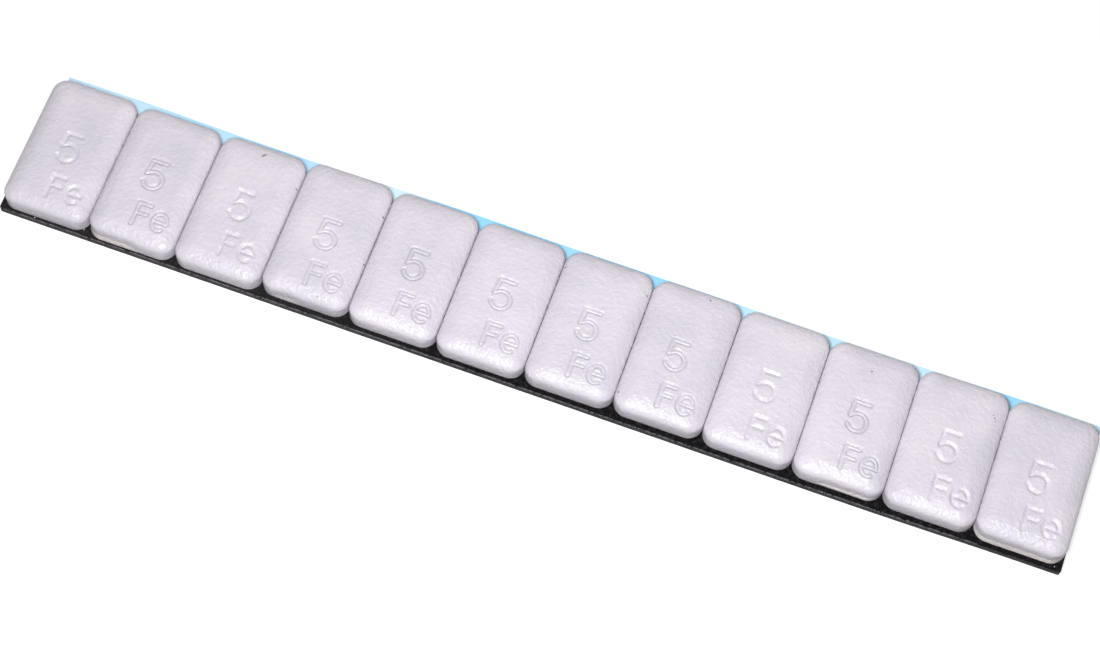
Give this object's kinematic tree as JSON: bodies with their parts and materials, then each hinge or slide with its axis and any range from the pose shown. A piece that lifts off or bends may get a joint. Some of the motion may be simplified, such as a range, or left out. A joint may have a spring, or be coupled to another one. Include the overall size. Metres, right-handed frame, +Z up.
{
  "type": "wheel balance weight",
  "caption": "Strip of stick-on wheel balance weights: a row of coated steel blocks on one black foam tape with a pale blue release liner, to be split and stuck inside a wheel rim.",
  "frame": {"origin": "middle of the release liner's underside, which the strip lies on", "axes": "+X along the strip, +Y across it to the rear, where the liner's free peel edge is, +Z up out of the weights' stamped tops"},
  "size_m": [0.1442, 0.0214, 0.0044],
  "materials": {
    "weight_coat": "silver-grey satin powder coat on steel, fine orange peel",
    "foam_tape": "black closed-cell foam, double-sided adhesive",
    "release_liner": "pale blue smooth release film"
  },
  "bodies": {
    "root": {"weight_01": "weight_coat", "weight_02": "weight_coat", "weight_03": "weight_coat", "weight_04": "weight_coat", "weight_05": "weight_coat", "weight_06": "weight_coat", "weight_07": "weight_coat", "weight_08": "weight_coat", "weight_09": "weight_coat", "weight_10": "weight_coat", "weight_11": "weight_coat", "weight_12": "weight_coat", "foam_tape": "foam_tape", "release_liner": "release_liner"}
  },
  "joints": []
}
